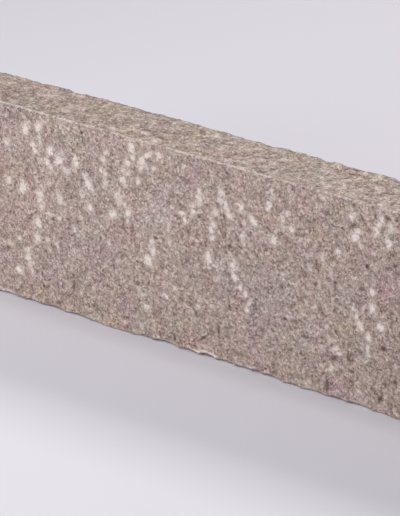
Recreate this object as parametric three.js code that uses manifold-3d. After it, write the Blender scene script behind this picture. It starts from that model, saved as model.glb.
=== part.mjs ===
// Granite kerb stone, 1000 x 80 x 250 mm: one hewn block. Its front, top, bed and ends are dressed flat,
// its back is split, and its arrises are broken by shallow shell-shaped flakes.
// Millimetres. X runs along the kerb, +Y from the exposed front to the back, +Z up. The origin is at
// the middle of the bed, so the stone stands on z = 0.
import * as THREE from "three";
import { mergeVertices } from "three/addons/utils/BufferGeometryUtils.js";
import Module from "manifold-3d";

const wasm = await Module();
wasm.setup();

// ---- Driving dimensions ----
const LENGTH = 1000;
const WIDTH = 80; // front face to the highest point of the split back
const HEIGHT = 250;

const TOP_FRONT_ARRIS = 2; // width of the bevel dressed along the exposed upper arris
const PLAIN_ARRIS = 1; // the other long arrises, only eased
const END_ARRIS = 1.2; // bevel round each end, where the next stone butts

// The split back: long waves that leave hollows of up to SPLIT_RELIEF below its highest point.
const SPLIT_RELIEF = 6;
const SPLIT_CELL = 22; // size of the facets that carry the waves
const SPLIT_WAVES = [
  // share of the relief, wavelength, heading in degrees from the stone's length, phase in degrees
  { share: 0.34, wavelength: 277, heading: 0, phase: -180 },
  { share: 0.22, wavelength: 205, heading: 62, phase: 40 },
  { share: 0.18, wavelength: 118, heading: -38, phase: 205 },
  { share: 0.14, wavelength: 96, heading: 17, phase: 120 },
  { share: 0.12, wavelength: 61, heading: -71, phase: 310 },
];
// The split was started from a line scored along the upper edge, so it runs straighter near that edge.
const SCORED_BAND = 60; // how far below the upper edge the waves reach their full height
const SCORED_WAVE = 0.4; // their height at the edge, as a share of the full one
const SCORED_SETBACK = 1.6; // how far the scored line lies in from the middle of the waves

// Flakes broken off the two long arrises that are left rough. They run into each other along the front
// foot, which keeps its arris in a few places only. `at` is the middle of the flake, as a share of the
// stone's length from its middle; chord is its length along the arris, in millimetres, and rise and run
// are how far it eats into the upright face and into the level face.
const FOOT_FLAKES = [
  { at: -0.464, chord: 40, rise: 4.4, run: 5.4 },
  { at: -0.418, chord: 46, rise: 5.6, run: 6.0 },
  { at: -0.371, chord: 42, rise: 4.0, run: 5.2 },
  { at: -0.322, chord: 50, rise: 5.4, run: 6.8 },
  { at: -0.282, chord: 36, rise: 4.6, run: 4.0 },
  { at: -0.247, chord: 46, rise: 4.0, run: 7.0 },
  { at: -0.213, chord: 34, rise: 4.6, run: 4.2 },
  { at: -0.183, chord: 46, rise: 4.6, run: 6.6 },
  { at: -0.147, chord: 50, rise: 4.2, run: 6.0 },
  { at: -0.120, chord: 24, rise: 2.6, run: 4.0 },
  { at: -0.078, chord: 34, rise: 3.6, run: 2.0 },
  { at: -0.050, chord: 34, rise: 6.2, run: 5.0 },
  { at: -0.022, chord: 44, rise: 6.5, run: 8.6 },
  { at: 0.010, chord: 38, rise: 5.6, run: 5.2 },
  { at: 0.036, chord: 34, rise: 6.6, run: 6.4 },
  { at: 0.060, chord: 40, rise: 6.0, run: 8.2 },
  { at: 0.086, chord: 34, rise: 5.8, run: 6.8 },
  { at: 0.103, chord: 22, rise: 7.0, run: 6.8 },
  { at: 0.122, chord: 38, rise: 5.4, run: 8.6 },
  { at: 0.152, chord: 30, rise: 5.0, run: 3.4 },
  { at: 0.181, chord: 40, rise: 4.6, run: 4.4 },
  { at: 0.209, chord: 34, rise: 5.2, run: 5.0 },
  { at: 0.238, chord: 46, rise: 5.8, run: 6.4 },
  { at: 0.268, chord: 30, rise: 5.2, run: 4.0 },
  { at: 0.290, chord: 26, rise: 4.6, run: 1.8 },
  { at: 0.332, chord: 50, rise: 4.4, run: 6.0 },
  { at: 0.385, chord: 40, rise: 5.2, run: 5.0 },
  { at: 0.430, chord: 46, rise: 4.2, run: 6.6 },
  { at: 0.472, chord: 36, rise: 5.0, run: 4.4 },
];
const TOP_BACK_FLAKES = [
  { at: -0.462, chord: 44, rise: 2.0, run: 4.5 },
  { at: -0.398, chord: 32, rise: 1.6, run: 3.5 },
  { at: -0.318, chord: 38, rise: 2.2, run: 5 },
  { at: -0.242, chord: 24, rise: 1.2, run: 2.5 },
  { at: -0.195, chord: 26, rise: 2.2, run: 5 },
  { at: -0.094, chord: 30, rise: 1.4, run: 3 },
  { at: -0.012, chord: 26, rise: 1.4, run: 3 },
  { at: 0.043, chord: 18, rise: 1.6, run: 3.5 },
  { at: 0.074, chord: 28, rise: 1.4, run: 7 },
  { at: 0.147, chord: 16, rise: 1.2, run: 5 },
  { at: 0.186, chord: 44, rise: 1.5, run: 8 },
  { at: 0.247, chord: 28, rise: 2.4, run: 5.5 },
  { at: 0.305, chord: 24, rise: 1.4, run: 3 },
  { at: 0.372, chord: 46, rise: 2.0, run: 4 },
  { at: 0.451, chord: 30, rise: 1.8, run: 4 },
];

// The other arrises have flakes at about an even spacing, with sizes between these limits.
const BACK_FOOT = { pitch: 68, chord: [24, 50], reach: [2, 6] };
const TOP_FRONT = { pitch: 190, chord: [10, 20], reach: [1.8, 2.6] };
const END_EDGE = { pitch: 46, chord: [12, 28], reach: [1.4, 3.2] };

const FLAKE_HOLLOW = 0.8; // how flat a flake is: 0 is a quarter ball, and a large number a plain bevel
const FINE_BALL = new THREE.IcosahedronGeometry(1, 3); // cuts the flakes of the listed arrises
const COARSE_BALL = new THREE.IcosahedronGeometry(1, 2); // cuts the smaller ones
const OUTSIDE = 20; // how far a cutter reaches past the stone

// ---- Solids and cuts ----

// A closed three.js geometry as a manifold-3d solid.
function solidFrom(geometry) {
  const bare = geometry.clone();
  bare.deleteAttribute("normal");
  bare.deleteAttribute("uv");
  const merged = mergeVertices(bare, 1e-4);
  return new wasm.Manifold(
    new wasm.Mesh({
      numProp: 3,
      vertProperties: new Float32Array(merged.attributes.position.array),
      triVerts: new Uint32Array(merged.index.array),
    }),
  );
}

// A manifold-3d solid as a three.js geometry.
function geometryFrom(solid) {
  const mesh = solid.getMesh();
  const geometry = new THREE.BufferGeometry();
  geometry.setAttribute("position", new THREE.BufferAttribute(mesh.vertProperties, 3));
  geometry.setIndex(new THREE.BufferAttribute(mesh.triVerts, 1));
  geometry.computeVertexNormals();
  return geometry;
}

// Numbers from 0 to 1 that are the same on every build. Each arris has its own seed, so that changing
// one arris leaves the flakes of the others where they are.
function seededRandom(seed) {
  let state = seed;
  return () => {
    state = (state * 1664525 + 1013904223) % 4294967296;
    return state / 4294967296;
  };
}

// ---- The sawn block: the section, bevelled at its arrises, carried along the stone ----
function block() {
  const front = -WIDTH / 2;
  const back = WIDTH / 2;
  const section = new THREE.Shape();
  section.moveTo(front + PLAIN_ARRIS, 0);
  section.lineTo(back - PLAIN_ARRIS, 0);
  section.lineTo(back, PLAIN_ARRIS);
  section.lineTo(back, HEIGHT - PLAIN_ARRIS);
  section.lineTo(back - PLAIN_ARRIS, HEIGHT);
  section.lineTo(front + TOP_FRONT_ARRIS, HEIGHT);
  section.lineTo(front, HEIGHT - TOP_FRONT_ARRIS);
  section.lineTo(front, PLAIN_ARRIS);
  const geometry = new THREE.ExtrudeGeometry(section, {
    depth: LENGTH - 2 * END_ARRIS,
    bevelEnabled: true,
    bevelSegments: 1,
    bevelThickness: END_ARRIS,
    bevelSize: END_ARRIS,
    bevelOffset: -END_ARRIS,
  });
  // The section was drawn in (Y, Z) and extruded along its own third axis: turn that axis to X.
  geometry.applyMatrix4(new THREE.Matrix4().set(0, 0, 1, 0, 1, 0, 0, 0, 0, 1, 0, 0, 0, 0, 0, 1));
  geometry.translate(-LENGTH / 2 + END_ARRIS, 0, 0);
  return solidFrom(geometry);
}

// ---- The split back ----

// Height of the waves at a place on the back, between -1 and 1.
function splitWave(x, z) {
  return SPLIT_WAVES.reduce((sum, { share, wavelength, heading, phase }) => {
    const angle = THREE.MathUtils.degToRad(heading);
    const along = x * Math.cos(angle) + z * Math.sin(angle);
    return sum + share * Math.cos((2 * Math.PI * along) / wavelength + THREE.MathUtils.degToRad(phase));
  }, 0);
}

// How far the split stands out at a place, in millimetres from the middle of the waves.
function splitHeight(x, z) {
  const scored = THREE.MathUtils.smoothstep(z, HEIGHT - SCORED_BAND, HEIGHT);
  const full = (SPLIT_RELIEF / 2) * splitWave(x, z);
  return THREE.MathUtils.lerp(full, SCORED_WAVE * full - SCORED_SETBACK, scored);
}

// The grid points of the split face, and the highest place among them, which touches the full WIDTH.
const splitColumns = Math.ceil((LENGTH + 2 * OUTSIDE) / SPLIT_CELL);
const splitRows = Math.ceil((HEIGHT + 2 * OUTSIDE) / SPLIT_CELL);
const splitCrest = (() => {
  let crest = -SPLIT_RELIEF;
  for (let column = 0; column <= splitColumns; column++) {
    for (let row = 0; row <= splitRows; row++) {
      const x = (column / splitColumns - 0.5) * (LENGTH + 2 * OUTSIDE);
      const z = (row / splitRows) * (HEIGHT + 2 * OUTSIDE) - OUTSIDE;
      const onStone = Math.abs(x) < LENGTH / 2 && z > 0 && z < HEIGHT;
      if (onStone) crest = Math.max(crest, splitHeight(x, z));
    }
  }
  return crest;
})();

// Where the split back lies, in Y.
function splitY(x, z) {
  return WIDTH / 2 - splitCrest + splitHeight(x, z);
}

// The waste that comes away behind the split: a slab whose inner face carries the waves.
function splitWaste() {
  const middle = WIDTH / 2 + OUTSIDE / 2;
  const slab = new THREE.BoxGeometry(
    LENGTH + 2 * OUTSIDE,
    OUTSIDE,
    HEIGHT + 2 * OUTSIDE,
    splitColumns,
    1,
    splitRows,
  );
  slab.translate(0, middle, HEIGHT / 2);
  const position = slab.attributes.position;
  for (let i = 0; i < position.count; i++) {
    if (position.getY(i) < middle) position.setY(i, splitY(position.getX(i), position.getZ(i)));
  }
  return solidFrom(slab);
}

// ---- Flakes ----

// The ellipsoid that breaks one flake off an arris. It is centred outside the stone, FLAKE_HOLLOW reaches
// from the arris along each face, and meets face U at reachU, face V at reachV and the arris at +-chord/2.
// intoU and intoV point from the arris along its two faces, into the stone.
function flake(ball, point, intoU, intoV, chord, reachU, reachV) {
  const radius = Math.hypot(1 + FLAKE_HOLLOW, FLAKE_HOLLOW);
  const halfChord = Math.sqrt(1 + 2 * FLAKE_HOLLOW);
  const along = new THREE.Vector3().crossVectors(intoU, intoV);
  const centre = point
    .clone()
    .addScaledVector(intoU, -FLAKE_HOLLOW * reachU)
    .addScaledVector(intoV, -FLAKE_HOLLOW * reachV);
  const cut = new THREE.Matrix4().makeBasis(
    along.multiplyScalar((radius * chord) / 2 / halfChord),
    intoU.clone().multiplyScalar(radius * reachU),
    intoV.clone().multiplyScalar(radius * reachV),
  );
  cut.setPosition(centre);
  return solidFrom(ball.clone().applyMatrix4(cut));
}

const axis = {
  right: new THREE.Vector3(1, 0, 0),
  left: new THREE.Vector3(-1, 0, 0),
  back: new THREE.Vector3(0, 1, 0),
  front: new THREE.Vector3(0, -1, 0),
  up: new THREE.Vector3(0, 0, 1),
  down: new THREE.Vector3(0, 0, -1),
};

// The flakes listed for a long arris. pointAt gives the arris's place at a distance along the stone.
function listedFlakes(flakes, pointAt, upright, level) {
  return flakes.map(({ at, chord, rise, run }) =>
    flake(FINE_BALL, pointAt(at * LENGTH), upright, level, chord, rise, run),
  );
}

// Flakes spread along an arris of a given length at about an even pitch, with sizes from its seed.
function spreadFlakes(seed, { pitch, chord, reach }, arrisLength, pointAt, intoU, intoV) {
  const random = seededRandom(seed);
  const between = ([low, high]) => low + (high - low) * random();
  const count = Math.max(1, Math.round(arrisLength / pitch));
  const step = arrisLength / count;
  const cuts = [];
  for (let i = 0; i < count; i++) {
    const at = -arrisLength / 2 + step * (i + between([0.25, 0.75]));
    const size = [between(chord), between(reach), between(reach)];
    cuts.push(flake(COARSE_BALL, pointAt(at), intoU, intoV, ...size));
  }
  return cuts;
}

function longArrisFlakes() {
  const footFront = (x) => new THREE.Vector3(x, -WIDTH / 2, 0);
  const footBack = (x) => new THREE.Vector3(x, splitY(x, 0), 0);
  const topFront = (x) => new THREE.Vector3(x, -WIDTH / 2, HEIGHT);
  const topBack = (x) => new THREE.Vector3(x, splitY(x, HEIGHT), HEIGHT);
  return [
    ...listedFlakes(FOOT_FLAKES, footFront, axis.up, axis.back),
    ...listedFlakes(TOP_BACK_FLAKES, topBack, axis.down, axis.front),
    ...spreadFlakes(11, BACK_FOOT, LENGTH, footBack, axis.up, axis.front),
    ...spreadFlakes(23, TOP_FRONT, LENGTH, topFront, axis.down, axis.back),
  ];
}

// The four arrises round one end. inward points from that end into the stone.
function endFlakes(seed, endX, inward) {
  const upright = (y) => (z) => new THREE.Vector3(endX, y, z + HEIGHT / 2);
  const level = (z) => (y) => new THREE.Vector3(endX, y, z);
  const backEdge = (z) => new THREE.Vector3(endX, splitY(endX, z + HEIGHT / 2), z + HEIGHT / 2);
  return [
    ...spreadFlakes(seed, END_EDGE, HEIGHT, upright(-WIDTH / 2), inward, axis.back),
    ...spreadFlakes(seed + 1, END_EDGE, HEIGHT, backEdge, inward, axis.front),
    ...spreadFlakes(seed + 2, END_EDGE, WIDTH, level(HEIGHT), inward, axis.down),
    ...spreadFlakes(seed + 3, END_EDGE, WIDTH, level(0), inward, axis.up),
  ];
}

// ---- The stone ----
const cutters = [
  splitWaste(),
  ...longArrisFlakes(),
  ...endFlakes(101, -LENGTH / 2, axis.right),
  ...endFlakes(211, LENGTH / 2, axis.left),
];
const stone = cutters.reduce((solid, cutter) => solid.subtract(cutter), block());

const granite = new THREE.MeshStandardMaterial({
  name: "bush_hammered_granite",
  color: 0xa8968f,
  roughness: 0.9,
  metalness: 0,
  flatShading: true,
});

const kerbStone = new THREE.Mesh(geometryFrom(stone), granite);
kerbStone.name = "kerb_stone";

const kerb = new THREE.Group();
kerb.name = "granite_kerb";
kerb.add(kerbStone);

export default kerb;
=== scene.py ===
"""Granite kerb stone, 1000 x 80 x 250 mm, standing on its bed.

One hewn block: bush-hammered front, top, bed and ends, a split back, and arrises broken by flakes.
The frame holds the block with its flakes and its split. Here it gets its worked surface and its granite.
"""

import bmesh
import bpy
import numpy as np
from mathutils import Matrix, Vector


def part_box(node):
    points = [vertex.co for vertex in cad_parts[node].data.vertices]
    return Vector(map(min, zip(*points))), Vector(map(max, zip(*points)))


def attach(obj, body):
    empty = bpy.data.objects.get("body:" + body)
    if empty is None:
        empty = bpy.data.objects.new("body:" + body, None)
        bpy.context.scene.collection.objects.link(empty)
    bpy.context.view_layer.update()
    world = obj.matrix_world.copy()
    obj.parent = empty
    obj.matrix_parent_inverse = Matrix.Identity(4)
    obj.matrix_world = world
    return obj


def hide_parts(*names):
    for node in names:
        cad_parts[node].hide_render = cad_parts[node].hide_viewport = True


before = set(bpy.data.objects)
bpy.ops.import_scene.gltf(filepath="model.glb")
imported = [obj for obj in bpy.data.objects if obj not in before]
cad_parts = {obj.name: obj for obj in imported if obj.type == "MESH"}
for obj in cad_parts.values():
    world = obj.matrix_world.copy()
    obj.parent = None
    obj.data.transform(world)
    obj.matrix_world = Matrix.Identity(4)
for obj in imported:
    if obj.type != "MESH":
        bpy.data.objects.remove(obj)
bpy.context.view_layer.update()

# ---- The skin of the block ------------------------------------------------------------------------
# The stone is one block of granite, squared up and then dressed. Its skin is one closed net of quads,
# finer than the facets of the split: it is laid round the block and drawn in, square to itself, onto the
# solid, so that it follows every flake and the waves of the back.

mm = 0.001
lowest_corner, highest_corner = np.array(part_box("kerb_stone"))
length, width, height = highest_corner - lowest_corner
fan = 8 * mm  # the rays round an arris spread from a line this deep inside both of its faces
start_reach = 1.8 * fan  # the net starts this far from there, just outside the block
along_pitch = 2.8 * mm
face_pitch = 2.8 * mm  # rows up the front and the back, which have to be as many as each other
top_pitch = 2.4 * mm
bed_pitch = 6.4 * mm
end_pitch = 3.0 * mm
weld_reach = 0.01 * mm
turns = {"top_front": 20, "top_back": 12, "foot_back": 8, "foot_front": 12, "end": 7}  # steps in 90 degrees

inner = np.array([width / 2 - fan, height / 2 - fan])  # half of the section, as far in as the fans


def section_rays():
    """Rays round the section, as base points and directions in (y, z) from its middle.

    Along a side the base point goes in even steps along the inner rectangle and the ray stands square
    to the face. At a corner of the rectangle the base point stays and the ray turns by 90 degrees.
    """
    sides = [  # from corner, to corner, the way that the face looks, pitch, steps of the turn after it
        ((-1, -1), (-1, 1), (-1, 0), face_pitch, turns["top_front"]),
        ((-1, 1), (1, 1), (0, 1), top_pitch, turns["top_back"]),
        ((1, 1), (1, -1), (1, 0), face_pitch, turns["foot_back"]),
        ((1, -1), (-1, -1), (0, -1), bed_pitch, turns["foot_front"]),
    ]
    bases, ways = [], []
    for corner, next_corner, face, pitch, steps in sides:
        begin, end, face = np.array(corner) * inner, np.array(next_corner) * inner, np.array(face)
        count = int(round(np.abs(end - begin).sum() / pitch))
        share = np.arange(count)[:, None] / count
        bases.append(begin + (end - begin) * share)
        ways.append(np.repeat(face[None, :], count, axis=0))
        turn = np.arange(steps)[:, None] / steps * np.pi / 2
        next_face = np.array([face[1], -face[0]])
        bases.append(np.repeat(end[None, :], steps, axis=0))
        ways.append(face * np.cos(turn) + next_face * np.sin(turn))
    return np.concatenate(bases), np.concatenate(ways).astype(float)


def stations():
    """Where the section is repeated: x, the turn towards the end and the inset, one row each.

    From the middle of the left end the section opens out ring by ring, turns round the end's arris,
    runs along the stone, and closes again in the same way at the right end.
    """
    ring = np.linspace(inner[0], 0, int(round(inner[0] / end_pitch)), endpoint=False)
    turn = np.linspace(-np.pi / 2, 0, turns["end"], endpoint=False)
    run_half = length / 2 - fan
    run = np.linspace(-run_half, run_half, int(round(2 * run_half / along_pitch)) + 1)
    left = [
        np.stack([np.full_like(ring, -run_half), np.full_like(ring, -np.pi / 2), ring], axis=1),
        np.stack([np.full_like(turn, -run_half), turn, np.zeros_like(turn)], axis=1),
    ]
    right = [(part * (-1, -1, 1))[::-1] for part in reversed(left)]
    return np.concatenate([*left, np.stack([run, run * 0, run * 0], axis=1), *right])


def block_net():
    """The net before it is drawn in: every ray's base point, moved along the ray by start_reach."""
    base, way = section_rays()
    x, turn, inset = (column[:, None] for column in stations().T)
    shrink_y, shrink_z = (inner[0] - inset) / inner[0], (inner[1] - inset) / inner[1]
    points = np.stack(
        [
            x + start_reach * np.sin(turn) + 0 * base[:, 0],
            shrink_y * base[:, 0] + start_reach * np.cos(turn) * way[:, 0],
            height / 2 + shrink_z * base[:, 1] + start_reach * np.cos(turn) * way[:, 1],
        ],
        axis=-1,
    )
    rows, columns = points.shape[:2]
    index = np.arange(rows * columns).reshape(rows, columns)
    beside = np.roll(index, -1, axis=1)
    quads = np.stack([index[:-1], index[1:], beside[1:], beside[:-1]], axis=-1).reshape(-1, 4)
    return points.reshape(-1, 3), quads


net_points, net_quads = block_net()
skin_mesh = bpy.data.meshes.new("kerb_skin")
skin_mesh.from_pydata(net_points.tolist(), [], net_quads.tolist())
welded = bmesh.new()
welded.from_mesh(skin_mesh)
bmesh.ops.remove_doubles(welded, verts=welded.verts, dist=weld_reach)  # the rings close at the ends
welded.to_mesh(skin_mesh)
welded.free()
skin = bpy.data.objects.new("bush_hammered_kerb", skin_mesh)
bpy.context.scene.collection.objects.link(skin)


def vertex_array(mesh):
    """The mesh's vertex positions as an array with a row for each vertex."""
    flat = np.empty(len(mesh.vertices) * 3, np.float32)
    mesh.vertices.foreach_get("co", flat)
    return flat.reshape(-1, 3).astype(float)


start = vertex_array(skin_mesh)
draw_in = skin.modifiers.new("draw_in", "SHRINKWRAP")
draw_in.wrap_method = "PROJECT"
draw_in.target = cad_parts["kerb_stone"]
draw_in.use_negative_direction = True
draw_in.use_positive_direction = False
drawn = bpy.data.meshes.new_from_object(skin.evaluated_get(bpy.context.evaluated_depsgraph_get()))
on_solid = vertex_array(drawn)
skin.modifiers.remove(draw_in)
bpy.data.meshes.remove(drawn)

inward = on_solid - start
inward /= np.linalg.norm(inward, axis=1, keepdims=True)

# ---- The worked surface ---------------------------------------------------------------------------
# The front and the top are bush-hammered: the hammer's points leave shallow pits that run into each
# other. The back is split and stays as it broke. The bed and the ends are only roughly dressed.

random = np.random.default_rng(41)
tilt = np.linalg.qr(random.normal(size=(3, 3)))[0]  # turns the swells so that no face lies along them
lattice_start = 500  # in cells: any whole number, which picks the part of the lattice that is used


def swell(points, spacing):
    """Smooth random heights, from -1 to 1.

    Each corner of a tilted cubic lattice of this spacing holds a random number, and a point takes the
    eight round it, each weighted by its nearness with an S-curve along every axis.
    """
    cells = 128
    table = random.uniform(-1, 1, (cells, cells, cells))
    place = points @ tilt / spacing + lattice_start
    cell = np.floor(place).astype(int)
    share = place - cell
    share = share * share * (3 - 2 * share)
    total = np.zeros(len(points))
    for corner in np.ndindex(2, 2, 2):
        weight = np.prod(np.where(corner, share, 1 - share), axis=1)
        total += weight * table[tuple(((cell + corner) % cells).T)]
    return total


def pits(points, pitch):
    """Depth of round pits, from 0 on the crests between them to 1 at their bottoms.

    One pit's centre lies at random in each cell of a cubic lattice of this pitch. The depth falls with
    the square of the distance to the nearest centre.
    """
    cells = 64
    crest_square = 0.8  # the square of the distance, in cells, at which a pit ends on its crest
    jitter = random.uniform(0, 1, (cells, cells, cells, 3))
    place = points / pitch + lattice_start
    cell = np.floor(place).astype(int)
    nearest = np.full(len(points), np.inf)
    for step in np.ndindex(3, 3, 3):
        neighbour = cell + step - 1
        centre = neighbour + jitter[tuple((neighbour % cells).T)]
        nearest = np.minimum(nearest, ((place - centre) ** 2).sum(axis=1))
    return np.clip(1 - nearest / crest_square, 0, 1)


def roughness(spacing, middle):
    """Random depths from 0 to twice the middle one: the middle times the sum of 1 and a swell."""
    return middle * (1 + swell(on_solid, spacing))


facing = inward**2  # how much of each vertex looks along x, y and z
front_share = facing[:, 1] * (inward[:, 1] > 0)
back_share = facing[:, 1] * (inward[:, 1] < 0)
top_share = facing[:, 2] * (inward[:, 2] < 0)
bed_share = facing[:, 2] * (inward[:, 2] > 0)
end_share = facing[:, 0]


def ease(value, low, high):
    """0 up to the low value and 1 from the high one, with an S-curve between them."""
    share = np.clip((value - low) / (high - low), 0, 1)
    return share * share * (3 - 2 * share)


from_arris = np.hypot(on_solid[:, 1] + width / 2, on_solid[:, 2] - height)
from_foot = np.hypot(on_solid[:, 1] + width / 2, on_solid[:, 2])
worked_at_arris = 0.25  # the top front arris is kept nearly true
worked = worked_at_arris + (1 - worked_at_arris) * ease(from_arris, 0, 6 * mm)
worked *= ease(from_foot, 0, 7 * mm)  # and at the front foot the stone stands tight on its bed
from_back = width / 2 - on_solid[:, 1]
from_crest = np.hypot(from_back, height - on_solid[:, 2])
from_back_foot = np.hypot(from_back, on_solid[:, 2])
from_back_corner = np.hypot(from_back, length / 2 - np.abs(on_solid[:, 0]))
from_rim = np.minimum.reduce([from_crest, from_back_foot, from_back_corner])  # the back's four arrises

light_pitch, light_depth = 6.5 * mm, 0.8 * mm  # the pits of light blows, on all that is dressed but the top
heavy_pitch, heavy_depth = 9.5 * mm, 1.7 * mm  # the pits of heavier blows, on the top
break_depth, ridge_depth = 2.2 * mm, 5.5 * mm  # the swells of the split, and the dips between its ridges
light_pits = pits(on_solid, light_pitch)
heavy_pits = pits(on_solid, heavy_pitch)
hammered = worked * (light_depth * light_pits + roughness(4.5 * mm, 0.3 * mm))
pecked = worked * (heavy_depth * heavy_pits + roughness(5.5 * mm, 0.5 * mm))
rolling = worked * roughness(55 * mm, 0.25 * mm)
broken = break_depth * swell(on_solid, 30 * mm) + ridge_depth * np.abs(swell(on_solid, 15 * mm))
standing_out = 0.8  # share of the room between the solid and the width that the split may fill
broken = np.maximum(broken, -standing_out * from_back)
crumbly = roughness(5.5 * mm, 0.55 * mm)
bed_work, end_work = 0.6, 0.7  # the bed and the ends are worked less than the front
depth = (
    front_share * (hammered + rolling)
    + top_share * (pecked + rolling)
    + back_share * (broken * ease(from_rim, 2 * mm, 30 * mm) + crumbly)
    + bed_share * (bed_work * hammered)
    + end_share * (end_work * hammered + rolling)
)
skin_mesh.vertices.foreach_set("co", (on_solid + inward * depth[:, None]).astype(np.float32).ravel())
skin_mesh.shade_smooth()
skin_mesh.update()

# The pits are darkened and their crests paled, partly by dust and wear and partly as painted shade, most on
# the top. The hollows of the split are darkened by painted shade alone.
top_dust_and_shade, split_painted_shade, other_dust_and_shade = 1.25, 0.18, 0.3
dust_and_pit_shade = skin_mesh.attributes.new("dust_and_pit_shade", "FLOAT", "POINT")
light_hollow, heavy_hollow = light_pits - light_pits.mean(), heavy_pits - heavy_pits.mean()
split_hollow = (broken - broken.mean()) / (2 * mm)
dust_and_shade = top_dust_and_shade * top_share * heavy_hollow + other_dust_and_shade * (1 - top_share - back_share) * light_hollow
dust_and_shade += split_painted_shade * back_share * split_hollow
dust_and_pit_shade.data.foreach_set("value", dust_and_shade.astype(np.float32))

# ---- The bruises ----------------------------------------------------------------------------------
# Where a blow fell too hard the crystals under it are crushed to a white powder. On the front they are
# upright marks, some in strings one below the other where the hammer was drawn down the face.

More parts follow.
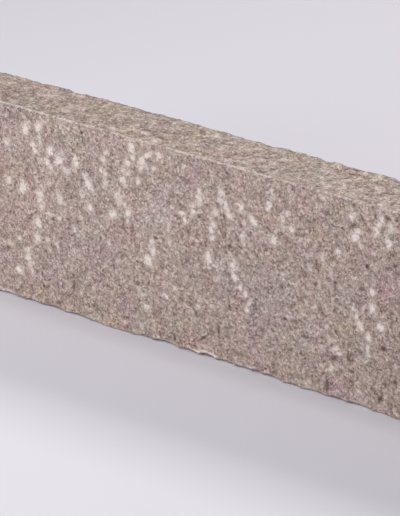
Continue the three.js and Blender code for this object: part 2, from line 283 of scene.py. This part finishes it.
BRUISES = [  # x, z, width, height, lean to the left in degrees, whiteness
    (-245, 199, 8, 7, 0, 0.6), (-243, 153, 8, 9, 0, 0.75), (-245, 72, 6, 5, 0, 0.6),
    (-232, 40, 9, 8, 0, 0.95), (-217, 223, 9, 14, 8, 0.85), (-223, 148, 10, 14, -15, 0.8),
    (-229, 82, 5, 6, 0, 0.6), (-218, 69, 9, 7, 0, 0.75), (-216, 65, 7, 8, 0, 0.6),
    (-218, 60, 8, 9, 0, 0.8), (-212, 45, 4, 11, 10, 0.6), (-198, 230, 7, 14, -20, 0.8),
    (-206, 206, 8, 5, 0, 0.7), (-204, 200, 6, 7, 0, 0.85), (-198, 146, 10, 12, 0, 0.75),
    (-198, 138, 8, 9, 0, 0.65), (-197, 131, 8, 8, 0, 0.75), (-203, 113, 7, 8, 0, 0.7),
    (-201, 108, 8, 13, 12, 0.85), (-203, 89, 8, 11, 0, 0.75), (-182, 205, 9, 11, -15, 0.85),
    (-172, 192, 9, 5, 0, 0.65), (-186, 190, 7, 9, 0, 0.95), (-183, 184, 8, 10, 15, 0.6),
    (-186, 125, 6, 6, 0, 0.65), (-172, 123, 4, 7, 20, 0.6), (-168, 197, 9, 14, -35, 0.8),
    (-159, 185, 11, 9, 0, 0.6), (-169, 151, 8, 5, -20, 0.75), (-169, 145, 9, 8, 0, 0.7),
    (-146, 204, 5, 7, 0, 0.75), (-145, 198, 6, 9, 0, 0.8), (-132, 185, 6, 8, 20, 0.65),
    (-149, 114, 5, 7, 30, 0.6), (-110, 198, 5, 6, 0, 0.8), (-128, 176, 8, 12, 35, 0.85),
    (-126, 148, 7, 9, 20, 0.75), (-103, 222, 5, 9, -25, 0.65), (-106, 213, 7, 9, 0, 0.7),
    (-103, 196, 7, 6, 0, 0.7), (-103, 184, 5, 5, 0, 0.6), (-93, 148, 10, 10, -20, 0.85),
    (-72, 217, 8, 8, 0, 0.75), (-79, 194, 8, 10, 0, 0.75), (-84, 181, 5, 6, 0, 0.65),
    (-85, 170, 10, 15, 0, 0.6), (-72, 155, 7, 9, 0, 0.85), (-73, 145, 4, 8, 0, 0.65),
    (-78, 16, 4, 6, -45, 0.6), (-67, 237, 7, 14, 5, 0.8), (-65, 230, 4, 8, 5, 0.6),
    (-65, 225, 5, 6, 0, 0.9), (-52, 224, 8, 13, -8, 0.8), (-54, 215, 5, 8, -20, 0.75),
    (-58, 197, 6, 6, 0, 0.7), (-43, 234, 6, 15, -45, 0.8), (-36, 220, 6, 5, 10, 0.6),
    (-39, 128, 6, 9, 0, 0.75), (-38, 116, 7, 12, 0, 0.85), (-45, 105, 9, 12, 0, 0.95),
    (-48, 99, 6, 5, 0, 0.65), (-47, 44, 8, 6, 0, 0.8), (-29, 237, 6, 9, 30, 0.75),
    (-20, 95, 4, 6, 0, 0.6), (-20, 65, 5, 9, 50, 0.8), (3, 174, 9, 6, 0, 0.8), (6, 168, 5, 9, 0, 0.8),
    (25, 207, 6, 9, -15, 0.65), (26, 197, 8, 15, 15, 0.75), (18, 181, 8, 5, 0, 0.75),
    (48, 189, 7, 10, 0, 0.65), (46, 172, 6, 10, 20, 0.7), (42, 164, 5, 9, 0, 0.75),
    (43, 155, 7, 6, 0, 0.6), (39, 127, 8, 15, 0, 0.9), (47, 121, 8, 4, 0, 0.6),
    (55, 213, 7, 9, 0, 0.75), (55, 203, 11, 9, 0, 0.6), (63, 197, 7, 12, 30, 0.75),
    (67, 188, 6, 10, 35, 0.75), (80, 205, 6, 4, 0, 0.8), (83, 202, 6, 8, 0, 0.8),
    (85, 168, 7, 8, 0, 0.65), (72, 128, 7, 12, 0, 0.75), (70, 121, 8, 6, 0, 0.6),
    (74, 115, 7, 10, 30, 0.85), (82, 104, 4, 8, 0, 0.85), (89, 98, 5, 8, 0, 0.8),
    (99, 190, 7, 14, 35, 0.9), (94, 87, 4, 10, -35, 0.65), (91, 79, 6, 8, 0, 0.65),
    (123, 233, 4, 7, 10, 0.65), (119, 215, 6, 9, 0, 0.85), (118, 210, 6, 6, 0, 0.65),
    (126, 174, 7, 11, -15, 0.85), (138, 202, 6, 8, 0, 0.65), (149, 193, 6, 9, 30, 0.7),
    (146, 86, 5, 4, 0, 0.6), (182, 109, 4, 5, 0, 0.6), (191, 241, 4, 7, 30, 0.65),
    (210, 183, 6, 6, 0, 0.85), (209, 64, 9, 5, 15, 0.75), (229, 231, 6, 8, -30, 0.7),
    (226, 228, 7, 6, 0, 0.9), (214, 60, 6, 5, 0, 0.8), (234, 213, 8, 8, 0, 0.7),
    (232, 205, 10, 9, 0, 0.9), (239, 197, 6, 8, 45, 0.7), (231, 156, 6, 5, 0, 0.6),
    (244, 125, 4, 9, -20, 0.6), (231, 119, 6, 5, 0, 0.8), (235, 111, 5, 6, 0, 0.7),
    (238, 103, 9, 6, 20, 0.7), (241, 99, 5, 6, 0, 0.85), (250, 76, 5, 8, 0, 0.7),
    (264, 235, 6, 9, 0, 0.8), (261, 228, 6, 8, 0, 0.8), (258, 220, 6, 10, 0, 0.95),
    (256, 215, 6, 8, -20, 0.7), (254, 146, 7, 10, 0, 0.8), (255, 127, 7, 13, 0, 0.8),
    (266, 107, 8, 10, 0, 0.9), (251, 91, 6, 9, 0, 0.9), (276, 228, 7, 13, -10, 0.65),
    (273, 211, 8, 6, 0, 0.75), (274, 208, 6, 8, 0, 0.9), (-211, 233, 5, 6, 0, 0.5),
    (-197, 216, 6, 16, 5, 0.55), (-169, 204, 7, 6, 0, 0.55), (-123, 171, 6, 6, 0, 0.55),
    (-135, 161, 5, 6, 0, 0.55), (-188, 91, 6, 6, 0, 0.55), (-215, 51, 7, 16, 15, 0.55),
    (-75, 205, 10, 9, 0, 0.5), (-77, 189, 6, 6, 0, 0.5), (-76, 163, 6, 8, 0, 0.5),
    (-41, 120, 7, 14, 0, 0.5), (17, 187, 7, 6, 0, 0.55), (81, 198, 7, 6, 0, 0.55),
    (87, 184, 4, 7, 20, 0.55), (24, 65, 8, 5, 0, 0.55), (250, 69, 6, 9, 0, 0.55),
]
CLOTS = [  # dark knots of mica and small holes, in the same six numbers, the last one their darkness
    (-195, 29, 4, 5, 0, 0.95), (-174, 13, 6, 6, 0, 0.65), (-153, 154, 5, 5, 0, 0.75),
    (-153, 105, 4, 3, 0, 0.75), (-151, 43, 3, 16, -5, 0.7), (-136, 238, 4, 4, 0, 0.95),
    (-122, 24, 4, 4, 0, 0.75), (-74, 22, 5, 4, 0, 0.65), (-75, 11, 4, 4, 0, 0.75),
    (-67, 138, 8, 3, 0, 0.65), (-59, 69, 4, 4, 0, 0.8), (-63, 37, 4, 3, 0, 0.65),
    (-34, 134, 6, 4, 0, 0.9), (-8, 15, 4, 6, 0, 0.95), (11, 154, 5, 4, 0, 0.65),
    (22, 55, 3, 5, 0, 0.65), (50, 59, 4, 3, 0, 0.75), (31, 26, 3, 13, -45, 0.8),
    (63, 239, 4, 4, 0, 0.65), (68, 151, 6, 4, 0, 0.85), (55, 106, 5, 4, 0, 0.95),
    (67, 75, 4, 7, 0, 0.7), (53, 43, 3, 9, 0, 0.9), (95, 175, 3, 3, 0, 0.85), (104, 83, 4, 3, 0, 0.65),
    (102, 33, 4, 3, 0, 0.65), (119, 185, 4, 10, 60, 0.65), (115, 159, 3, 6, -30, 0.65),
    (120, 112, 3, 3, 0, 0.65), (120, 108, 4, 3, 0, 0.7), (122, 47, 4, 3, 0, 0.65),
    (128, 21, 4, 6, 0, 0.65), (117, 13, 4, 3, 0, 0.65), (137, 120, 5, 4, 0, 0.65),
    (142, 82, 4, 4, 0, 0.9), (170, 153, 4, 5, 0, 0.85), (161, 86, 3, 3, 0, 0.7),
    (169, 68, 10, 4, 0, 0.75), (156, 54, 3, 4, 0, 0.65), (164, 46, 4, 4, 0, 0.75),
    (182, 136, 4, 6, 0, 0.75), (207, 144, 4, 5, 0, 0.85), (209, 86, 3, 4, 0, 0.75),
    (202, 76, 6, 3, 0, 0.65), (191, 73, 5, 3, 0, 0.75), (207, 53, 5, 9, -55, 0.8),
    (229, 243, 4, 4, 0, 0.75), (226, 59, 6, 8, 0, 0.75), (230, 218, 10, 5, 0, 0.75),
    (247, 175, 5, 5, 0, 1), (240, 67, 3, 17, -45, 0.75), (230, 43, 5, 4, 0, 0.75),
    (256, 238, 4, 4, 0, 0.65), (264, 220, 3, 4, 0, 0.65), (267, 127, 4, 4, 0, 0.85),
    (251, 56, 5, 3, 0, 0.65), (259, 30, 5, 3, 0, 0.65), (268, 20, 4, 10, -30, 0.9),
    (283, 239, 6, 4, 0, 0.65), (273, 238, 6, 4, 0, 0.75), (272, 179, 4, 3, 0, 0.65),
    (275, 121, 4, 3, 0, 0.65), (286, 97, 4, 3, 0, 0.75), (270, 82, 6, 5, 0, 0.85),
    (287, 46, 4, 4, 0, 0.8), (199, 17, 5, 15, 0, 0.75),
]
WHOLE_FRONT = [(-485, 485)]
ITS_ENDS = [(-485, -262), (295, 485)]  # the stretches of the front on either side of the listed marks


def strays(strips, pitch, widths, heights, strengths):
    """Marks at random places on these strips of the front, one for every pitch of their length."""
    lowest, highest = 10, 245
    gather = 1.25  # 1 would spread them evenly, and more brings them nearer to the top
    leans = (-25, 30)
    count = [int((end - begin) / pitch) for begin, end in strips]
    x = np.concatenate([random.uniform(begin, end, n) for (begin, end), n in zip(strips, count)])
    z = highest - (highest - lowest) * random.uniform(0, 1, len(x)) ** gather
    sizes = [random.uniform(*limits, len(x)) for limits in (widths, heights, leans, strengths)]
    return np.stack([x, z, *sizes], axis=1).tolist()


def straightened(marks):
    """Listed marks with their places put right, by up to 4 mm.

    They were measured slightly askew. Both places get a small stretch, slant and shift, and are then
    divided by a shrinking that gains along and up the stone, as a perspective has it.
    """
    x, z, *rest = np.array(marks).T
    shrinking = 1 + 16e-6 * x + 22e-6 * z
    straight_x = (0.998 * x - 0.5) / shrinking
    straight_z = (1.015 * z + 0.0045 * x - 2.2) / shrinking
    return np.stack([straight_x, straight_z, *rest], axis=1).tolist()


bruises = straightened(BRUISES)
bruises += strays(ITS_ENDS, 4.5, (5, 9), (6, 14), (0.6, 0.9))
bruises += strays(WHOLE_FRONT, 10.0, (4, 8), (4, 9), (0.3, 0.5))
clots = straightened(CLOTS)
clots += strays(ITS_ENDS, 9.0, (3, 6), (3, 6), (0.6, 0.9))
clots += strays(WHOLE_FRONT, 6.0, (3, 8), (3, 8), (0.35, 0.6))

corner_vertex = np.empty(len(skin_mesh.loops), np.int32)
skin_mesh.loops.foreach_get("vertex_index", corner_vertex)
face_corners = np.empty(len(skin_mesh.polygons), np.int32)
skin_mesh.polygons.foreach_get("loop_total", face_corners)
corner_face = np.repeat(np.arange(len(face_corners)), face_corners)
corner_place = on_solid[corner_vertex]
front_enough = 0.6  # past this share a face belongs to the front and not to the round of its arris
on_front = np.bincount(corner_face, inward[corner_vertex, 1]) / face_corners > front_enough
face_middle = np.stack([np.bincount(corner_face, column) for column in corner_place.T], axis=1)
face_middle /= face_corners[:, None]


def place_in_mark(points, mark):
    """Where points lie in an ellipse that leans to the left: across and up, 1 at its edge."""
    x, z, wide, high, lean = (mark[..., k] for k in range(5))
    offset_x, offset_z = points[:, 0] - x * mm, points[:, 2] - z * mm
    angle = np.radians(lean)
    across = (offset_x * np.cos(angle) + offset_z * np.sin(angle)) / (wide / 2 * mm)
    up = (offset_z * np.cos(angle) - offset_x * np.sin(angle)) / (high / 2 * mm)
    return across, up


def lay_marks(name, marks):
    """Gives each face the mark nearest to its middle, as a vector attribute of its corners.

    The vector is the corner's place in that mark, across and up, and the mark's strength, or 0 away
    from the front. It belongs to the corners, so it never runs from one mark's numbers to another's.
    """
    marks = np.array(marks)
    away = [np.hypot(*place_in_mark(face_middle, mark)) for mark in marks]
    nearest = marks[np.argmin(away, axis=0)]
    across, up = place_in_mark(corner_place, nearest[corner_face])
    strength = (nearest[:, 5] * on_front)[corner_face]
    layer = skin_mesh.attributes.new(name, "FLOAT_VECTOR", "CORNER")
    layer.data.foreach_set("vector", np.stack([across, up, strength], axis=1).astype(np.float32).ravel())


lay_marks("bruise", bruises)
lay_marks("clot", clots)

# ---- The stains -----------------------------------------------------------------------------------
# Here and there the rock itself changes colour over a few centimetres: lilac, brown, pink or olive.
# Rain has left the top greener, and paler towards the right. Where a flake has come away the break is
# still lilac grey.

STAINS = [  # x, z, width, height, lean to the left, the cast at its middle: 808080 changes nothing
    (-30, 170, 36, 50, -20, "969faa"),
    (-45, 145, 24, 24, 0, "7c8485"),
    (115, 170, 24, 28, 0, "817c84"),
    (275, 155, 34, 50, -40, "857d83"),
    (210, 15, 28, 24, 0, "817c84"),
    (180, 195, 24, 22, 0, "807f77"),
    (165, 225, 24, 18, 0, "857f7e"),
    (-240, 115, 60, 170, 0, "83807c"),
    (120, 205, 30, 26, 0, "868180"),
    (25, 235, 12, 18, 0, "79737b"),
    (-160, 110, 24, 12, 0, "79737b"),
    (210, 55, 20, 14, 0, "79737b"),
    (-235, 175, 20, 24, 0, "6e6c6f"),
    (-195, 75, 28, 28, 0, "73746c"),
    (5, 65, 28, 26, 0, "8e8688"),
    (15, 210, 26, 22, 0, "75727a"),
    (115, 220, 20, 18, 0, "605e5c"),
    (145, 130, 22, 24, 0, "a0a4a8"),
    (160, 75, 32, 30, 0, "8d9390"),
    (260, 70, 26, 30, 0, "80787a"),
    (290, 65, 24, 28, 0, "605a5d"),
    (15, 15, 30, 22, 0, "928a90"),
    (120, 125, 120, 84, 0, "7e8083"),
    (-150, 240, 90, 18, 0, "999998"),
    (-75, 240, 44, 18, 0, "969696"),
    (90, 240, 36, 24, 0, "9c9b9b"),
    (190, 245, 24, 12, 0, "959595"),
    (280, 240, 32, 22, 0, "979696"),
]

DIRTY_TOP = "797b7b"
WEATHERED_TOP = "838a8b"
CREST_SHADE = "6e7582"
# the colour of the painted shade along the top's back crest
FRESH_BREAK = "78747f"


def channels(colour):
    """The red, green and blue of a hex colour, from 0 to 255."""
    return np.array([int(colour[i : i + 2], 16) for i in (0, 2, 4)])


def cast_change(colour):
    """How much a cast colour adds to each channel, as a share: nothing for 808080."""
    return channels(colour) / 0x80 - 1


weathered = ease(on_solid[:, 0], -250 * mm, 100 * mm)[:, None]  # it gains on the dirt along the stone
top_cast = (1 - weathered) * cast_change(DIRTY_TOP) + weathered * cast_change(WEATHERED_TOP)
cast_sum = top_share[:, None] * top_cast
for *ellipse, colour in STAINS:
    stain_across, stain_up = place_in_mark(on_solid, np.array(ellipse))
    fade = np.exp(-(stain_across**2) - stain_up**2) * front_share
    cast_sum += fade[:, None] * cast_change(colour)
chip_reach = 12 * mm  # how high the flakes of the front foot go, and a little more
crest_reach = 14 * mm  # and how far those of the back's upper arris reach over the top
inside_foot = np.minimum(width / 2 + on_solid[:, 1], on_solid[:, 2])
at_foot = (on_solid[:, 2] < chip_reach) & (on_solid[:, 1] < -width / 4)
under_top = height - on_solid[:, 2]
at_crest = (from_crest < crest_reach) * top_share
broken_foot = ease(inside_foot, 0.5 * mm, 2 * mm) * at_foot
broken_crest = ease(under_top, 0.6 * mm, 1.5 * mm) * at_crest
cast_sum += (broken_foot + broken_crest)[:, None] * cast_change(FRESH_BREAK)
# Painted shade: the top is darker and bluer along its back crest.
crest_shade_share = top_share * (1 - ease(from_crest, 7 * mm, 12 * mm))
cast_sum += crest_shade_share[:, None] * cast_change(CREST_SHADE)
cast = skin_mesh.attributes.new("cast", "FLOAT_VECTOR", "POINT")
cast.data.foreach_set("vector", (1 + cast_sum).astype(np.float32).ravel())

# ---- The chafed edges and the painted light on the chips ------------------------------------------
# The stone crumbles to white along the rims of the chips under the front, where a crowbar has gone in.
# Their broken faces are paled, partly as crushing and partly as painted light against their shade,
# and the top front arris is paler.

crumbled_height = 6 * mm  # of the crumbled band over a chip
pale_band_width = 3.8 * mm  # of the paler band on either side of the arris
ARRIS_PALE_ALL_ALONG = 0.74
ARRIS_PALER = [  # where the arris is paler or less pale than that: from x, to x, how pale
    (-330, -230, 0.95),
    (-230, -210, 0.8),
    (-125, -95, 0.61),
    (-95, -65, 0.56),
    (-65, -40, 0.63),
    (-40, -10, 0.58),
    (-10, 20, 0.79),
    (20, 45, 0.63),
    (110, 135, 0.54),
    (225, 260, 0.45),
    (260, 325, 0.61),
]
CRUMBLED_ALL_ALONG = 0.45
CRUMBLED = [  # where the rims of the chips under the front are whiter than that
    (-260, -240, 0.9),
    (-125, -105, 0.85),
    (10, 20, 1.1),
    (20, 50, 1.35),
    (90, 105, 1.0),
    (160, 185, 0.8),
]
# the chips' broken faces are crushed pale and painted lighter against the shade they lie in
CRUSHED_AND_LIT_CHIP = 1.0
DARK_CHIP = 0.0
DARK_CHIPS = [  # where the chips' broken faces get neither the crushing nor the painted light, and stay dark: from x, to x
    (-222, -203), (-96, -68), (-56, -40), (-1, 42), (93, 106), (146, 160), (181, 231), (272, 288),
]

chipped = (inside_foot > 0.5 * mm) & at_foot
columns = np.round((on_solid[:, 0] + length / 2) / along_pitch).astype(int)
highest_chip = np.zeros(columns.max() + 1)  # in each column of the net
np.maximum.at(highest_chip, columns[chipped], on_solid[chipped, 2])
chip_top = highest_chip[columns]
over_chip = on_solid[:, 2] - chip_top
crumbled_rim = ease(chip_top, 1 * mm, 3 * mm) * ease(over_chip, -1.5 * mm, 0)
crumbled_rim *= 1 - ease(over_chip, 0.3 * crumbled_height, crumbled_height)
crumbled_rim *= (on_solid[:, 1] < 0) * (1 - ease(end_share, 0, 0.3))  # not at the back or on the ends


def along_stone(usual, spans):
    """The usual value at every vertex, or that of the span from x to x that it lies in."""
    value = np.full(len(on_solid), usual)
    for begin, end, other in spans:
        value[(on_solid[:, 0] > begin * mm) & (on_solid[:, 0] < end * mm)] = other
    return value


crumbled_rim *= along_stone(CRUMBLED_ALL_ALONG, CRUMBLED)
# Painted light: the down-facing chip faces are paled against their shade, except in the dark spans.
crushed_and_lit_chip = broken_foot * along_stone(CRUSHED_AND_LIT_CHIP, [(*span, DARK_CHIP) for span in DARK_CHIPS])
# Paler along the top front arris.
pale_arris = along_stone(ARRIS_PALE_ALL_ALONG, ARRIS_PALER) * (1 - ease(from_arris, 1.0 * mm, pale_band_width))
pale_arris *= 0.9 + 0.4 * swell(on_solid, 12 * mm)  # it comes and goes along the arris
crumbled_rim *= 0.85 + 0.5 * swell(on_solid, 7 * mm)  # and so do the crumbs
chafed_and_lit = skin_mesh.attributes.new("chafed_and_lit", "FLOAT", "POINT")
chafed_and_lit_most = np.maximum.reduce([crumbled_rim, crushed_and_lit_chip, pale_arris])
chafed_and_lit.data.foreach_set("value", chafed_and_lit_most.astype(np.float32))

# ---- The granite ----------------------------------------------------------------------------------
# A fine to medium grained pinkish grey granite, bush-hammered: feldspar, quartz and a little mica in
# grains of 2 to 3 mm, all of them bruised dull, so that the eye sees a matt speckle and no gloss.


def linear(colour):
    """An sRGB hex colour as a linear RGBA tuple: the sRGB curve undone for each channel."""
    srgb = channels(colour) / 255
    rgb = np.where(srgb <= 0.04045, srgb / 12.92, ((srgb + 0.055) / 1.055) ** 2.4)
    return (*rgb.tolist(), 1.0)


def add_node(tree, kind, settings, inputs):
    """Adds a node.

    Settings are its own properties. An input gets a number or a colour, or what is linked to it: an
    output, or a node, which stands for its first output.
    """
    node = tree.nodes.new(kind)
    for name, value in settings.items():
        setattr(node, name, value)
    for name, value in inputs.items():
        if isinstance(value, bpy.types.Node):
            value = value.outputs[0]
        if isinstance(value, bpy.types.NodeSocket):
            tree.links.new(value, node.inputs[name])
        else:
            node.inputs[name].default_value = value
    return node


FELDSPAR = "d9c5bc"
FELDSPAR_DULL = "b19b91"
QUARTZ = "968279"
MICA = "6a5048"
BLACK_MICA = "523a35"
CRUSHED_AND_LIT_PALE = "ead9d1"
MINERALS = [(0.20, MICA), (0.42, QUARTZ), (0.60, FELDSPAR_DULL), (0.86, FELDSPAR)]
grain_size = 2.7 * mm  # the feldspars and the quartzes
grit_size = 1.5 * mm  # what lies between them
grain_wander = 1.4 * mm  # how far the grains' borders stray from straight
grain_upright = (1.0, 1.0, 0.87)  # the front's grains are a little taller than wide
grain_relief = 0.6 * mm
NOISES = [  # name, size of the coarsest features, how often they are halved, strength of the finer ones
    ("wander", 2.8 * mm, 2, 0.6),
    ("cloud", 9 * mm, 4, 0.7),
    ("drift", 45 * mm, 4, 0.75),
    ("rag", 3.0 * mm, 3, 0.7),
    ("crumb", 1.6 * mm, 3, 0.7),
]


def granite_material():
    """Grains are random tones of two sizes of cells, turned into the colours of the minerals."""
    material = bpy.data.materials.new("bush_hammered_pink_grey_granite")
    material.use_nodes = True
    tree = material.node_tree
    tree.nodes.clear()
    times = {"operation": "MULTIPLY"}
    times_plus = {"operation": "MULTIPLY_ADD"}
    s_curve = {"interpolation_type": "SMOOTHSTEP"}

    here = add_node(tree, "ShaderNodeTexCoord", {}, {}).outputs["Object"]
    noises = {}
    for name, size, halvings, finer in NOISES:
        cloudy = {"Vector": here, "Scale": 1 / size, "Detail": halvings, "Roughness": finer}
        noises[name] = add_node(tree, "ShaderNodeTexNoise", {}, cloudy).outputs
    rag = noises["rag"][0]

    def spots(attribute):
        """How much of a mark is here: its ragged ellipse or its faint halo, times its strength.

        Outwards from the mark's middle the ellipse falls from 1 to 0 along an S-curve across its edge,
        which the granite's rag shifts in and out, and the halo falls from 0.28 to 0 farther out.
        """
        rag_reach = 2.6
        edge = 2.25  # the rag adds half of its reach on average, and this is where that puts the border
        place = add_node(tree, "ShaderNodeAttribute", {"attribute_name": attribute}, {}).outputs["Vector"]
        across, up, strength = add_node(tree, "ShaderNodeSeparateXYZ", {}, {0: place}).outputs
        across_squared = add_node(tree, "ShaderNodeMath", times, {0: across, 1: across})
        square = add_node(tree, "ShaderNodeMath", times_plus, {0: up, 1: up, 2: across_squared})
        away = add_node(tree, "ShaderNodeMath", {"operation": "SQRT"}, {0: square})
        ragged_away = add_node(tree, "ShaderNodeMath", times_plus, {0: rag, 1: rag_reach, 2: away})
        fall = {"Value": ragged_away, "From Min": edge + 0.5, "From Max": edge - 0.4}
        core = add_node(tree, "ShaderNodeMapRange", s_curve, fall)
        fall = {"Value": away, "From Min": 2.5, "From Max": 0.8, "To Max": 0.28}
        halo = add_node(tree, "ShaderNodeMapRange", s_curve, fall)
        either = add_node(tree, "ShaderNodeMath", {"operation": "MAXIMUM"}, {0: core, 1: halo})
        return add_node(tree, "ShaderNodeMath", times, {0: either, 1: strength})

    upright = add_node(tree, "ShaderNodeVectorMath", times, {0: here, 1: grain_upright})
    stray = {0: noises["wander"]["Color"], 1: (grain_wander,) * 3, 2: upright}
    strayed = add_node(tree, "ShaderNodeVectorMath", times_plus, stray)
    grains = add_node(tree, "ShaderNodeTexVoronoi", {}, {"Vector": strayed, "Scale": 1 / grain_size}).outputs
    grit = add_node(tree, "ShaderNodeTexVoronoi", {}, {"Vector": strayed, "Scale": 1 / grit_size}).outputs
    grain_tone = add_node(tree, "ShaderNodeSeparateColor", {}, {0: grains["Color"]})
    grit_tone = add_node(tree, "ShaderNodeSeparateColor", {}, {0: grit["Color"]})
    # The pits' dust and painted shade, and the painted shade of the split's hollows
    dust_and_pit_shade = add_node(tree, "ShaderNodeAttribute", {"attribute_name": "dust_and_pit_shade"}, {}).outputs["Fac"]

    # The tone adds up a cloud, the grains and the grit, and takes off the dust and painted shade of the
    # hollows.
    tone = add_node(tree, "ShaderNodeMath", times, {0: noises["cloud"][0], 1: 0.40})
    for part, share in ((grain_tone, 0.32), (grit_tone, 0.32), (dust_and_pit_shade, -0.25)):
        tone = add_node(tree, "ShaderNodeMath", times_plus, {0: part, 1: share, 2: tone})
    minerals = add_node(tree, "ShaderNodeValToRGB", {}, {"Fac": tone})
    stops = minerals.color_ramp.elements
    stops.remove(stops[1])
    stops[0].position = MINERALS[0][0]
    for position, _ in MINERALS[1:]:
        stops.new(position)
    for stop, (_, colour) in zip(stops, MINERALS):
        stop.color = linear(colour)

    # Casts of pink, green, yellow and blue drift over a few millimetres to a few centimetres, and the
    # stains and the weathering lie over them. Inputs 0, 6 and 7 of a mix are its share and two colours.
    soft_light = {"data_type": "RGBA", "blend_type": "SOFT_LIGHT"}
    multiplied = {"data_type": "RGBA", "blend_type": "MULTIPLY"}
    mixed = {"data_type": "RGBA", "blend_type": "MIX"}
    cast = add_node(tree, "ShaderNodeAttribute", {"attribute_name": "cast"}, {}).outputs["Vector"]
    drift = {0: 0.20, 6: minerals, 7: noises["drift"]["Color"]}
    drifted = add_node(tree, "ShaderNodeMix", soft_light, drift).outputs[2]
    tinted = add_node(tree, "ShaderNodeMix", multiplied, {0: 1.0, 6: drifted, 7: cast}).outputs[2]

    # Clots lie in the stone; crushed white, and painted light on the chips, lie over it. The grains show
    # through.
    clotted = {0: spots("clot"), 6: tinted, 7: linear(BLACK_MICA)}
    dark = add_node(tree, "ShaderNodeMix", mixed, clotted).outputs[2]
    chafed_and_lit = add_node(tree, "ShaderNodeAttribute", {"attribute_name": "chafed_and_lit"}, {}).outputs["Fac"]
    ragged_chafed_and_lit = add_node(tree, "ShaderNodeMath", {"operation": "ADD"}, {0: chafed_and_lit, 1: rag})
    rise = {"Value": ragged_chafed_and_lit, "From Min": 0.80, "From Max": 1.50, "To Max": 0.8}
    crumbs_and_light = add_node(tree, "ShaderNodeMapRange", s_curve, rise)
    bruised_and_lit = {0: spots("bruise"), 1: crumbs_and_light}
    crushed_and_lit = add_node(tree, "ShaderNodeMath", {"operation": "MAXIMUM"}, bruised_and_lit)
    paler_grains = add_node(tree, "ShaderNodeMath", times_plus, {0: tone, 1: 0.9, 2: 0.5})
    powder_and_light = add_node(tree, "ShaderNodeMath", times, {0: crushed_and_lit, 1: paler_grains})
    powdered_and_lit = {0: powder_and_light, 6: dark, 7: linear(CRUSHED_AND_LIT_PALE)}
    colour = add_node(tree, "ShaderNodeMix", mixed, powdered_and_lit).outputs[2]

    # The relief of the single grains, too fine for the net.
    domes = {0: grains["Distance"], 1: 0.8, 2: noises["crumb"][0]}
    grain_height = add_node(tree, "ShaderNodeMath", times_plus, domes)
    bump = {"Strength": 1.0, "Distance": grain_relief, "Height": grain_height}
    relief = add_node(tree, "ShaderNodeBump", {}, bump)
    finish = {"Base Color": colour, "Roughness": 0.85, "IOR": 1.5, "Normal": relief}
    surface = add_node(tree, "ShaderNodeBsdfPrincipled", {}, finish)
    add_node(tree, "ShaderNodeOutputMaterial", {}, {"Surface": surface})
    return material


skin_mesh.materials.append(granite_material())
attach(skin, "root")
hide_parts("kerb_stone")

# ---- The floor and the light ----------------------------------------------------------------------
# A smooth pale board, larger than the view. A wide soft lamp behind the stone throws its shadow forwards,
# and a small one overhead draws a narrow darker band along its foot. Two wide lamps fill the front.

FLOOR = "dcd7de"
floor_half = 6.0
world_strength = 0.155
lamp_aim = (0, 0, 0.1)
floor_mesh = bpy.data.meshes.new("studio_floor")
floor_mesh.from_pydata(
    [(x * floor_half, y * floor_half, 0) for x, y in ((-1, -1), (1, -1), (1, 1), (-1, 1))],
    [],
    [(0, 1, 2, 3)],
)
floor = bpy.data.objects.new("studio_floor", floor_mesh)
bpy.context.scene.collection.objects.link(floor)
board = bpy.data.materials.new("matt_white_board")  # without gloss, so it shows soft shadows only
board.use_nodes = True
board_surface = board.node_tree.nodes["Principled BSDF"]
board_surface.inputs["Base Color"].default_value = linear(FLOOR)
board_surface.inputs["Roughness"].default_value = 0.9
floor_mesh.materials.append(board)

world = bpy.data.worlds.new("studio")
bpy.context.scene.world = world
world.use_nodes = True
world.node_tree.nodes["Background"].inputs["Color"].default_value = (1.0, 1.0, 1.0, 1.0)
world.node_tree.nodes["Background"].inputs["Strength"].default_value = world_strength


def soft_lamp(name, size, power, colour, place):
    """A square lamp of that side, power and colour, at a place, turned to look at lamp_aim."""
    lamp = bpy.data.lights.new(name, "AREA")
    lamp.size = size
    lamp.energy = power
    lamp.color = colour
    fitting = bpy.data.objects.new(name, lamp)
    fitting.location = place
    look = Vector(lamp_aim) - Vector(place)
    fitting.rotation_euler = look.to_track_quat("-Z", "Y").to_euler()
    bpy.context.scene.collection.objects.link(fitting)


soft_lamp("back_lamp", 0.9, 52, (1.0, 0.987, 0.975), (0.3, 2.0, 2.7))
soft_lamp("overhead_lamp", 0.32, 9.2, (1.0, 0.99, 0.98), (0, 0.22, 2.9))
soft_lamp("front_lamp", 1.6, 62.3, (0.924, 0.973, 1.0), (-0.6, -2.2, 2.8))
soft_lamp("low_fill", 1.2, 32.2, (0.909, 0.968, 1.0), (-1.2, -2.4, 0.9))

# ---- The camera -----------------------------------------------------------------------------------
# A long lens looks down on the stone's front from the right, close enough to cut off both ends.

azimuth, elevation = np.radians(34.34), np.radians(26.2)
distance = 3.190
lowered = 0.0208  # how far the view is moved down, along the camera's own upright
focal_length, sensor = 195.67, 36  # mm
back_way = np.array(
    [np.sin(azimuth) * np.cos(elevation), -np.cos(azimuth) * np.cos(elevation), np.sin(elevation)]
)
right_way = np.array([np.cos(azimuth), np.sin(azimuth), 0])
up_way = np.cross(back_way, right_way)
spot = np.array([0, 0, height / 2]) + back_way * distance - up_way * lowered
lens = bpy.data.cameras.new("long_lens")
lens.lens = focal_length
lens.sensor_width = sensor
camera = bpy.data.objects.new("camera", lens)
camera.matrix_world = Matrix(
    [[*axes, place] for axes, place in zip(np.stack([right_way, up_way, back_way], axis=1).tolist(), spot)]
    + [[0, 0, 0, 1]]
)
bpy.context.scene.collection.objects.link(camera)
bpy.context.scene.camera = camera
bpy.context.scene.view_settings.view_transform = "Standard"
